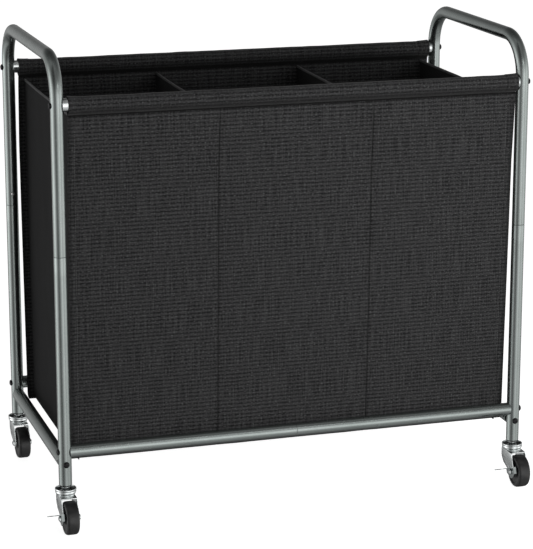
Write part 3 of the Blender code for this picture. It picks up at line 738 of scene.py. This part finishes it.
def panel_surface(sy, sleeve_span):
    """The front or back cloth as a grid of points, with its flat coordinates and a mask of painted
    shade.
    """
    path = panel_path()
    steps = np.linalg.norm(np.diff(path, axis=0), axis=1)
    run = np.concatenate([[0], np.cumsum(steps)])
    hem, edge = SLEEVE_HEM, BAG_HALF_WIDTH
    finer = [(x, SEAM_OFFSETS) for x in (-DIVIDER_X, DIVIDER_X, -SIDE_PANEL_X, SIDE_PANEL_X)]
    finer += [(s * (edge - hem), (-0.0015, -0.0004, 0.0004, 0.0015)) for s in (-1, 1)]
    finer += [(s * (edge - 0.0060), (-0.0006, 0.0006)) for s in (-1, 1)]
    across = spread(-edge, edge, 0.0062, finer)
    y, z = path[:, :1], path[:, 1:]
    low_share = clip01((RIM_Z + 0.002 - z) / 0.12)
    left = sleeve_span[0] * (1 - low_share) - edge * low_share
    right = sleeve_span[1] * (1 - low_share) + edge * low_share
    unit = (across + edge) / (2 * edge)
    x = left + (right - left) * unit[None, :]
    in_panel = clip01((RIM_Z - z) / 0.02)
    in_sleeve = clip01((z - RIM_Z) / 0.008)
    at = across[None, :]
    # sleeve: swollen folded hem at each end, slight waves from the threading of the rod
    hemmed = clip01((np.abs(at) - (edge - hem)) / 0.0008)
    flare = clip01((np.abs(at) - (edge - hem)) / hem) ** 2
    waves = cloth_noise(x, z * 0 + run[:, None], 3.1 + sy, (34, 60))
    swell = in_sleeve * (0.0006 * hemmed + 0.0011 * flare + 0.0006 * waves)
    out_y, out_z = y - LEG_Y, z - ROD_Z
    reach = np.maximum(np.hypot(out_y, out_z), 1e-6)
    # panel: drawn in at its stitched lines, easing outwards between them
    pull = sum(bell(at - s, 0.0012) for s in (-DIVIDER_X, DIVIDER_X))
    pull = pull + 0.6 * sum(bell(at - s, 0.0012) for s in (-SIDE_PANEL_X, SIDE_PANEL_X))
    soft = sum(bell(at - s, 0.020) for s in (-DIVIDER_X, DIVIDER_X))
    drape = cloth_noise(x, z, 11.0 + sy, (7, 5)) * 0.0013
    drape = drape + cloth_noise(x, z, 5.0 - sy, (26, 12)) * 0.00045
    puckers = cloth_noise(x, z, 23.0, (70, 14)) * 0.0007
    near_rim = bell(z - RIM_Z, 0.030)
    near_seam = clip01(soft)
    middle_bow = 0.0012 * np.sin(np.pi * clip01((z - BAG_BOTTOM_Z) / 0.58))
    push = in_panel * (drape + puckers * (near_rim + 0.7 * near_seam) + middle_bow
                       - 0.0008 * pull - 0.0007 * soft)
    push = push - 0.0018 * bell(z - RIM_Z, 0.0018)
    push = push + 0.0004 * in_panel * clip01((np.abs(at) - edge + PANEL_HEM) / 0.001)
    new_y = y + swell * out_y / reach + push
    new_z = z + swell * out_z / reach + 0 * x
    points = np.stack([x, sy * new_y, new_z + 0 * x], -1)
    uv = np.stack([x + edge + 0 * run[:, None], run[:, None] + 0 * x], -1)
    hems = [s * (edge - w) for s in (-1, 1) for w in (PANEL_HEM, hem)]
    # Painted shade: dark lines down the divider seams, where the seam grooves would hold shade.
    painted_shade = 0.8 * in_panel * sum(bell(at - s, 0.0014) for s in (-DIVIDER_X, DIVIDER_X))
    # Painted shadow: a dark line on the panel just under the sleeve.
    painted_shade = painted_shade + bell(z - RIM_Z + 0.0008, 0.0028) + 0 * x
    # Painted shade: the sleeve's lower half darkened towards the seam, as if it were in shade.
    painted_shade = painted_shade + 0.60 * clip01((RIM_Z + 0.015 - z) / 0.013) * (z > RIM_Z)
    # Painted shade: the panel's side edges darkened as if in shadow.
    painted_shade = painted_shade + 0.40 * in_panel * clip01((np.abs(at) - edge + 0.0065) / 0.001)
    # Painted shade: dark lines along the hems.
    painted_shade = painted_shade + 0.35 * (in_panel * sum(bell(at - s, 0.0006) for s in hems[::2])
                          + in_sleeve * sum(bell(at - s, 0.0006) for s in hems[1::2]))
    painted_shade = clip01(painted_shade)
    if sy > 0:
        points, uv, painted_shade = points[:, ::-1], uv[:, ::-1], painted_shade[:, ::-1]
    return points, uv, painted_shade, run[-1]


def stitch_run(points, outward):
    """Thread pieces along a line: each arches a little out of the cloth and dips in again."""
    made = []
    points = [Vector(p) for p in points]
    outward = Vector(outward).normalized()
    for a, b in zip(points, points[1:]):
        centre, along = (a + b) / 2, (b - a).normalized()
        side = along.cross(outward)
        rings = []
        for share, size, lift in ((-0.5, 0.35, -0.0003), (-0.3, 0.9, 0.0001), (0.0, 1.0, 0.0002),
                                  (0.3, 0.9, 0.0001), (0.5, 0.35, -0.0003)):
            at = centre + along * (share * STITCH_LENGTH) + outward * lift
            rings.append([at + STITCH_R * size * (math.cos(t) * side + math.sin(t) * outward)
                          for t in np.arange(6) * math.pi / 3])
        made.append(rings)
    return made


def thread_mesh(name, stitches):
    """Joins thread pieces, each a short run of six-sided rings, into one mesh."""
    bm = bmesh.new()
    for rings in stitches:
        rows = [[bm.verts.new(p) for p in ring] for ring in rings]
        for low, high in zip(rows, rows[1:]):
            for i in range(6):
                bm.faces.new((low[i], low[(i + 1) % 6], high[(i + 1) % 6], high[i]))
        bm.faces.new(rows[0][::-1])
        bm.faces.new(rows[-1])
    return smooth(from_bmesh(bm, name))


def on_cloth(points, targets, out):
    """Targets (x, z) carried to the nearest outer points of a hanging panel, and pushed out."""
    outer = points[len(points) // 4:].reshape(-1, 3)
    outer = outer[outer[:, 2] < RIM_Z + 0.028]
    outer = outer[np.abs(outer[:, 1]) > np.abs(outer[:, 1]).max() * 0.86]
    made = []
    for x, z in targets:
        near = outer[np.argmin((outer[:, 0] - x) ** 2 + (outer[:, 2] - z) ** 2)]
        made.append((x, near[1] + out, z))
    return made


def panel_stitches(stem, sy, points):
    """Seam rows under the sleeve and down over the dividers, and hem rows down the sides."""
    out = sy * (CLOTH / 2 + 0.0001)
    drop = np.arange(BAG_BOTTOM_Z + 0.014, RIM_Z - 0.006, STITCH_PITCH)
    seams = [[(x, RIM_Z + 0.0004) for x in np.arange(-0.380, 0.380, STITCH_PITCH)]]
    seams += [[(x, z) for z in drop] for x in (-DIVIDER_X, DIVIDER_X)]
    hem_x = BAG_HALF_WIDTH - HEM_STITCH
    hems = [[(x, z) for z in drop] for x in (-hem_x, hem_x)]
    meshes = []
    for part, rows in (("seam", seams), ("hem", hems)):
        made = []
        for row in rows:
            made += stitch_run(on_cloth(points, row, out), (0, sy, 0))
        meshes.append(thread_mesh("bag_%s_%s_stitches" % (stem, part), made))
    return meshes


def make_panels():
    for stem, sy in (("front", -1), ("back", 1)):
        points, uv, painted_shade, length = panel_surface(sy, SLEEVE_SPANS[sy])
        drawn = grid_mesh("bag_%s_cloth" % stem, points, uv=uv)
        # The painted shade mask is stored on the mesh for the cloth's colour.
        mask = drawn.attributes.new("painted_shade", "FLOAT", "POINT")
        mask.data.foreach_set("value", painted_shade.astype(np.float32).ravel())
        cloth = add_piece("bag_%s_cloth" % stem, thicken(drawn, CLOTH), PANEL, "root",
                          "bag_%s_panel" % stem)
        rows = zip((DARK_THREAD, THREAD), panel_stitches(stem, sy, points))
        stitches = [add_piece(mesh.name, mesh, thread, "root") for thread, mesh in rows]


def cross_surface(x, low_z, bow, seed, dip):
    """A side or divider cloth between the front and back panels, bowed and creased."""
    heights = spread(low_z, CROSS_TOP_Z, 0.009)
    across = np.linspace(-1, 1, 61)
    z = heights[:, None] + 0 * across[None, :]
    rise = (z - low_z) / (CROSS_TOP_Z - low_z)
    z = z - dip * rise ** 3 * (1 - across[None, :] ** 2)
    reach = bag_y(z) - CLOTH / 2 - 0.0004
    y = across[None, :] * reach
    belly = np.cos(across[None, :] * math.pi / 2) ** 0.8
    belly = belly * np.sin(np.pi * clip01(rise) ** 0.8 * 0.94 + 0.05)
    creases = cloth_noise(y, z, seed, (8, 6)) * 0.0016
    creases = creases + cloth_noise(y, z, seed + 7, (30, 14)) * 0.0004
    sewn_edges = (1 - np.abs(across[None, :]) ** 6) * clip01(rise / 0.06)
    out = x + bow * belly + creases * sewn_edges
    points = np.stack([out, y, z], -1)
    uv = np.stack([y + 0.25, z], -1)
    return points, uv


def binding(name, line, height, thickness):
    """A folded tape over an edge: line is the edge's points, running along Y."""
    half = thickness / 2
    profile = [(-half * 0.9, -height), (-half, -height * 0.6), (-half, -half)]
    profile += [(half * math.cos(a), half * math.sin(a) - half * 0.2)
                for a in np.linspace(math.pi, 0, 9)]
    profile += [(half, -half), (half, -height * 0.6), (half * 0.9, -height)]
    line = np.asarray(line)
    rows = [[(x + dx, y, z + dz) for dx, dz in profile] for x, y, z in line]
    run = np.concatenate([[0], np.cumsum(np.linalg.norm(np.diff(line, axis=0), axis=1))])
    uv = [[(r, 0.001 * j) for j in range(len(profile))] for r in run]
    return grid_mesh(name, np.array(rows), uv=uv)


def make_cross_cloths():
    """Sides and dividers, each with the tape that binds its top edge."""
    jobs = []
    for side, sx in SIDES:
        jobs.append(("bag_%s_side" % side, sx * SIDE_PANEL_X, BAG_BOTTOM_Z - 0.0012, 0.0022 * sx))
        jobs.append(("bag_divider_" + side, sx * DIVIDER_X, BAG_BOTTOM_Z + 0.003, 0.0015 * sx))
    for index, (node, x, low_z, bow) in enumerate(jobs):
        dip = 0.0008 if "side" in node else 0.0022
        points, uv = cross_surface(x, low_z, bow, 31.0 + 5 * index, dip)
        mesh = thicken(grid_mesh(node + "_cloth", points, uv=uv), CLOTH)
        cloth = add_piece(node + "_cloth", mesh, SIDE, "root", node)
        tape_mesh = binding(node + "_binding", points[-1] + (0, 0, 0.0004), 0.0026, 0.0017)
        tape = add_piece(node + "_binding", thicken(tape_mesh, 0.0005, 1.0), TAPE, "root")


def make_floor():
    """The floor cloth, hanging slack between the seams of the three compartments."""
    reach_x = SIDE_PANEL_X - CLOTH / 2 - 0.0002
    reach_y = bag_y(BAG_BOTTOM_Z) - 0.0095
    across = spread(-reach_x, reach_x, 0.0085,
                    [(x, SEAM_OFFSETS) for x in (-DIVIDER_X, DIVIDER_X)])
    along = np.linspace(-reach_y, reach_y, 45)
    x, y = np.meshgrid(across, along)
    seams = np.array([-SIDE_PANEL_X, -DIVIDER_X, DIVIDER_X, SIDE_PANEL_X])
    cell = np.clip(np.searchsorted(seams, x) - 1, 0, 2)
    share = (x - seams[cell]) / (seams[cell + 1] - seams[cell])
    hang = np.sin(np.pi * clip01(share)) ** 0.7 * np.cos(y / reach_y * math.pi / 2) ** 0.6
    z = BAG_BOTTOM_Z + 0.0022 - 0.0062 * hang + cloth_noise(x, y, 47.0, (14, 14)) * 0.0012 * hang
    points = np.stack([x, y, z], -1)
    uv = np.stack([x + reach_x, y + reach_y], -1)
    mesh = thicken(grid_mesh("bag_floor_cloth", points, uv=uv), CLOTH)
    cloth = add_piece("bag_floor_cloth", mesh, SIDE, "root", "bag_floor")


def make_bag():
    make_panels()
    make_cross_cloths()
    make_floor()


# ---- Casters -------------------------------------------------------------------------------
def wheel_mesh():
    """A moulded wheel: rounded tread shoulders, a stepped web and a hub boss each side."""
    w = WHEEL_HALF_WIDTH
    rim = [(0.0212, w - 0.0012), (0.0222, w - 0.0002), (0.0236, w), (0.0250, w - 0.0003)]
    rim += [(0.0264, w - 0.0012), (0.0275, w - 0.0028), (0.0280, w - 0.0046)]
    rim += [(WHEEL_R, w - 0.0070)]
    face = [(0.0200, -w + 0.0021), (0.0190, -w + 0.0024), (0.0105, -w + 0.0022)]
    face += [(0.0098, -w + 0.0016), (0.0092, -w + 0.0003), (0.0085, -w)]
    face += [(AXLE_R + GAP, -w)]
    outline = rim + [(r, -z) for r, z in reversed(rim)]
    outline += face + [(r, -z) for r, z in reversed(face)]
    return turned("caster_wheel_turned", [outline], 72)


def cheek_outline():
    """The fork's side view in (y, z): square top, sloping rear edge, boss at the axle."""
    points = [(0.0135, FORK_TOP_Z + 0.001), (0.0135, 0.0460), (0.0115, 0.0410)]
    points += [(0.0040, 0.0340)]
    points += arc(AXLE.y, WHEEL_R, 0.0080, -50, -180, 20)
    points += [(AXLE.y - 0.0075, 0.0330), (-0.0305, FORK_TOP_Z - 0.004)]
    return points + [(-0.0305, FORK_TOP_Z + 0.001)]


def crown_mesh():
    """The dish that turns on the balls, with a rolled rim."""
    base = FORK_TOP_Z - 0.0004
    floor = FORK_TOP_Z + FORK_SHEET
    rim_z, waist_z, low_z = CROWN_RIM_Z - 0.0008, CROWN_RIM_Z - 0.0024, CROWN_RIM_Z - 0.0054
    inner_r = CROWN_R - 0.0016
    profile = [(CROWN_R - 0.0008, CROWN_RIM_Z), (CROWN_R - 0.0003, CROWN_RIM_Z - 0.0002)]
    profile += [(CROWN_R, rim_z), (CROWN_R, waist_z), (CROWN_R - 0.0005, waist_z - 0.0006)]
    profile += [(CROWN_R - 0.0006, low_z + 0.0006), (CROWN_R - 0.0003, low_z)]
    profile += [(CROWN_R - 0.0005, low_z - 0.0014), (0.0168, low_z - 0.0026), (0.0160, base)]
    profile += [(PIVOT_R + GAP, base), (PIVOT_R + GAP, floor), (0.0146, floor)]
    profile += [(0.0158, low_z - 0.0012), (inner_r - 0.0002, low_z), (inner_r, CROWN_RIM_Z)]
    return turned("crown", [profile], 56)


def fork_mesh():
    """A folded channel trimmed to the cheeks' outline, with the crown on top."""
    w, corner = FORK_HALF_WIDTH, 0.0024
    right = [(w, 0.010)] + arc(w - corner, FORK_TOP_Z - corner, corner, 0, 90, 6)
    path = [(-x, z) for x, z in right] + right[::-1]
    obj = holder(strip_mesh("fork_channel", path, -0.060, 0.030, FORK_SHEET))
    trim = holder(outline_mesh("fork_trim", [cheek_outline()], 0.05), turn=ACROSS)
    crown = holder(crown_mesh())
    pivot = hole((0, 0, 0), (0, 0, 0), PIVOT_R + GAP, 0.05, 0.08)
    axle = hole((0, AXLE.y, WHEEL_R), X_AXIS, AXLE_R + GAP, -0.03, 0.03)
    mesh = carved(obj, ("INTERSECT", trim), ("UNION", crown), ("DIFFERENCE", pivot),
                  ("DIFFERENCE", axle))
    return rounded(mesh, 0.00028, 2, 50.0)


def stem_mesh():
    """Stem, flange, race cone and pivot in one turned piece, with its rivet head below."""
    profile = [(0.0, 0.1000), (0.0030, 0.1000), (0.0040, 0.0985), (0.0040, 0.0733)]
    profile += [(0.0076, 0.0733), (0.0080, 0.0729), (0.0080, 0.0710), (0.0076, 0.0706)]
    profile += [(0.0055, 0.0706), (0.0055, 0.0668), (0.0082, 0.0664), (0.0090, 0.0658)]
    profile += [(0.0090, 0.0642), (0.0082, 0.0637), (PIVOT_R, 0.0626), (PIVOT_R, 0.0585)]
    profile += [(0.0068, 0.0585), (0.0070, 0.0582), (0.0066, 0.0574), (0.0055, 0.0566)]
    return turned("caster_stem_turned", [profile + [(0.003, 0.0562), (0.0, 0.0561)]], 40)


def socket_mesh():
    outer, collar_top = TUBE_R - TUBE_WALL - GAP, LEG_BOTTOM_Z - GAP
    collar_low = collar_top - 0.0014
    profile = [(outer, LEG_BOTTOM_Z + 0.022), (outer, collar_top), (TUBE_R - 0.0006, collar_top)]
    profile += [(TUBE_R - 0.0002, collar_top - 0.0003), (TUBE_R - 0.0002, collar_low + 0.0003)]
    profile += [(TUBE_R - 0.0006, collar_low), (0.0043, collar_low)]
    return turned("caster_socket_turned", [profile + [(0.0043, LEG_BOTTOM_Z + 0.022)]], 40)


def axle_mesh(seat):
    """An axle rivet along its own Z: domed head at +Z, a six-sided one at -Z."""
    head = FORK_HALF_WIDTH + GAP
    end = seat + 0.0030
    profile = [(0.0, head + 0.0032), (0.0022, head + 0.0031), (0.0040, head + 0.0026)]
    profile += [(0.0050, head + 0.0016), (0.0054, head + 0.0003), (0.0053, head), (AXLE_R, head)]
    profile += [(AXLE_R, -end - 0.0008), (AXLE_R - 0.0004, -end - 0.0013), (0.0, -end - 0.0014)]
    obj = holder(turned("caster_axle", [profile], 36))
    nut = holder(rounded(turned("axle_nut", [disc(0.0052, -end, -seat)], 6), 0.0004, 3))
    return smooth(carved(obj, ("UNION", nut)), 40.0)


def lever_mesh():
    """Brake lever about the axle: side plate, pedal with its foot tab, and front lip."""
    inner = FORK_HALF_WIDTH + GAP
    top = 0.0066
    plate = [(-0.0215, top), (-0.0215, -0.0010), (-0.0080, -0.0100)]
    plate += arc(0, 0, 0.0120, -120, -60, 12) + [(0.0190, -0.0010), (0.0190, top)]
    tab = [(-inner, -0.0215), (-0.0232, -0.0215), (-0.0232, 0.0150), (-0.0250, 0.0190)]
    tab += [(-PEDAL_REACH + 0.003, 0.0205), (-PEDAL_REACH, 0.0235), (-PEDAL_REACH, 0.0320)]
    tab += [(-PEDAL_REACH + 0.003, 0.0350), (-0.0200, 0.0350), (-inner, 0.0290)]
    obj = holder(outline_mesh("lever_plate", [plate], PEDAL_SHEET),
                 (-inner - PEDAL_SHEET / 2, 0, 0), ACROSS)
    pedal = holder(outline_mesh("lever_pedal", [tab], PEDAL_SHEET),
                   (0, 0, top - PEDAL_SHEET / 2))
    lip = holder(box_mesh("lever_lip", (-0.0190, -0.0215, -0.0050), (-inner, -0.0201, top)))
    bore = hole((0, 0, 0), X_AXIS, AXLE_R + GAP, -0.03, 0.0)
    bpy.context.view_layer.update()
    turn = obj.matrix_world.copy()
    mesh = carved(obj, ("UNION", pedal), ("UNION", lip), ("DIFFERENCE", bore))
    mesh.transform(turn)
    mesh = rounded(mesh, 0.00035, 2, 40.0)
    mesh.transform(Matrix.Rotation(-PEDAL_SLOPE, 4, "X"))
    return mesh


def seal_mesh():
    """The black dust seal that covers the balls inside the dish."""
    outline = [(0.0158, 0.0668), (0.0150, 0.0672), (0.0098, 0.0668), (0.0096, 0.0664)]
    return turned("swivel_seal", [outline[::-1] + [(0.0100, 0.0658), (0.0154, 0.0660)]], 48)


def make_casters():
    socket, stem, fork, wheel = socket_mesh(), stem_mesh(), fork_mesh(), wheel_mesh()
    seal = seal_mesh()
    lever = lever_mesh()
    seat = FORK_HALF_WIDTH + GAP
    axles = {-1: axle_mesh(seat + PEDAL_SHEET + GAP), 1: axle_mesh(seat)}
    for tag, (sx, sy) in TAGS.items():
        at = Vector((sx * LEG_X, sy * LEG_Y, 0))
        axle_at = at + Vector((0, AXLE.y, WHEEL_R))
        fork_body, still = "caster_" + tag, (0, 0, 0)
        rows = [("caster_socket_", socket, PLUG, "root", at, still),
                ("caster_stem_", stem, ZINC, "root", at, still),
                ("caster_fork_", fork, ZINC, fork_body, at, still),
                ("caster_axle_", axles[sy], ZINC, fork_body, axle_at, X_AXIS),
                ("caster_wheel_", wheel, RUBBER, "wheel_" + tag, axle_at, X_AXIS)]
        if sy < 0:
            rows.append(("brake_lever_", lever, LEVER_ZINC, "brake_" + tag, axle_at, still))
        for node, mesh, look, body, place, turn in rows:
            add_piece(node + tag + "_fine", mesh, look, body, node + tag, place, turn)
        add_piece("swivel_seal_" + tag, seal, PLUG, fork_body, at=at)


# ---- Studio --------------------------------------------------------------------------------
# Brightness of the surroundings as (degrees, value), for reflections and for soft light.
# Azimuth 0 is in front of the cart and 90 is to its right; height 0 is the horizon.
GLOSS_AZIMUTH = ((-180, 0.18), (-165, 0.28), (-148, 0.24), (-130, 0.52), (-115, 1.12),
                 (-95, 1.05), (-75, 0.55), (-52, 0.14), (-28, 0.18), (-2, 0.72), (16, 0.98),
                 (34, 0.56), (62, 0.86), (95, 0.45), (130, 0.28), (155, 0.18), (180, 0.18))
GLOSS_HEIGHT = ((-90, 0.20), (-52, 0.32), (-30, 0.42), (-20, 0.56), (-11, 1.02), (8, 0.86),
                (28, 0.30), (46, 0.14), (68, 0.18), (90, 0.26))
SOFT_AZIMUTH = ((-180, 0.70), (-150, 0.45), (-125, 0.26), (-90, 0.22), (-60, 0.22), (-25, 0.40),
                (10, 0.50), (45, 0.50), (90, 0.62), (140, 0.80), (180, 0.70))
SOFT_HEIGHT = ((-90, 0.10), (-40, 0.16), (-10, 0.60), (10, 0.90), (45, 0.40), (90, 0.26))
GLOSS_STRENGTH, SOFT_STRENGTH = 2.0, 0.75
FLOOR_GLOW = 0.90
FLOOR_R = 60.0
CAMERA_AT = (-1.1136, -3.6540, 1.3308)
CAMERA_DOWN, CAMERA_TURN, CAMERA_LENS = 14.25, -17.12, 147.26


def make_world():
    """Mirrors see one backdrop, soft light comes from another, and the camera sees white."""
    world = bpy.data.worlds.new("studio")
    bpy.context.scene.world = world
    world.use_nodes = True
    tree = world.node_tree
    tree.nodes.clear()

    def node(kind, inputs=None, **settings):
        return add_node(tree, kind, inputs, **settings)

    def ramp(factor, stops):
        made = node("ValToRGB", {"Fac": factor})
        elements = made.color_ramp.elements
        while len(elements) < len(stops):
            elements.new(0.5)
        for element, (place, value) in zip(elements, stops):
            element.position = place
            element.color = (value, value, value, 1.0)
        return made.outputs["Color"]

    axes = node("SeparateXYZ", {"Vector": node("TexCoord").outputs["Generated"]}).outputs
    behind = node("Math", {0: axes["Y"], 1: -1.0}, operation="MULTIPLY").outputs[0]
    turn = node("Math", {0: axes["X"], 1: behind}, operation="ARCTAN2").outputs[0]
    round_it = node("MapRange", {"Value": turn, "From Min": -math.pi, "From Max": math.pi})
    lift = node("Math", {0: axes["Z"]}, operation="ARCSINE").outputs[0]
    up = node("MapRange", {"Value": lift, "From Min": -math.pi / 2, "From Max": math.pi / 2})

    def backdrop(by_azimuth, by_height, strength):
        a = ramp(round_it.outputs["Result"], [((d + 180) / 360, v) for d, v in by_azimuth])
        e = ramp(up.outputs["Result"], [((d + 90) / 180, v) for d, v in by_height])
        product = node("Mix", {0: 1.0, 6: a, 7: e}, data_type="RGBA", blend_type="MULTIPLY")
        shade = {"Color": product.outputs[2], "Strength": strength}
        return node("Background", shade).outputs[0]

    mirrored = backdrop(GLOSS_AZIMUTH, GLOSS_HEIGHT, GLOSS_STRENGTH)
    soft = backdrop(SOFT_AZIMUTH, SOFT_HEIGHT, SOFT_STRENGTH)
    plain = node("Background", {"Color": (1, 1, 1, 1), "Strength": 1.0}).outputs[0]
    rays = node("LightPath").outputs
    lit = node("MixShader", {0: rays["Is Glossy Ray"], 1: soft, 2: mirrored}).outputs[0]
    both = node("MixShader", {0: rays["Is Camera Ray"], 1: lit, 2: plain}).outputs[0]
    tree.links.new(both, node("OutputWorld").inputs["Surface"])


def make_floor_stage():
    """A wide pale floor, lit from itself so that it reads as a white sweep to the camera."""
    s = Shader("floor_pale", Roughness=0.9)
    s.set("Base Color", s.blend(s.noise(3.0), (0.86, 0.86, 0.86), (0.89, 0.89, 0.89)))
    s.set("Specular IOR Level", 0.0)
    s.set("Emission Color", (1.0, 1.0, 1.0))
    s.set("Emission Strength", FLOOR_GLOW)
    mesh = turned("studio_floor", [disc(FLOOR_R, -0.02, -0.0004)], 96)
    mesh.materials.append(s.material)
    floor = linked("studio_floor", mesh, CENTRE)
    floor.visible_glossy = False
    floor.visible_diffuse = False


def area_light(name, at, target, size, power, mirrored=False):
    light = bpy.data.lights.new(name, "AREA")
    light.shape = "RECTANGLE"
    light.size, light.size_y = size
    light.energy = power
    turn = (Vector(target) - Vector(at)).to_track_quat("-Z", "Y").to_euler()
    linked(name, light, at, turn).visible_glossy = mirrored


def make_studio():
    make_world()
    make_floor_stage()
    area_light("overhead_softbox", (0.3, 0.9, 3.2), (0, 0, 0.4), (2.6, 1.8), 1.5)
    area_light("front_softbox", (0.52, -1.60, 0.66), (0.10, 0, 0.42), (1.4, 0.64), 15.0)
    area_light("strip_softbox", (0.74, -2.41, 2.03), (0, 0, 0.40), (1.1, 0.45), 1.8, True)
    turn = (math.radians(90 - CAMERA_DOWN), 0.0, math.radians(CAMERA_TURN))
    camera = linked("camera", bpy.data.cameras.new("camera"), CAMERA_AT, turn)
    camera.data.sensor_width = 36.0
    camera.data.lens = CAMERA_LENS
    camera.data.clip_end = 200.0
    bpy.context.scene.camera = camera
    bpy.context.scene.view_settings.view_transform = "Standard"


make_frame()
make_bag()
make_casters()
make_studio()
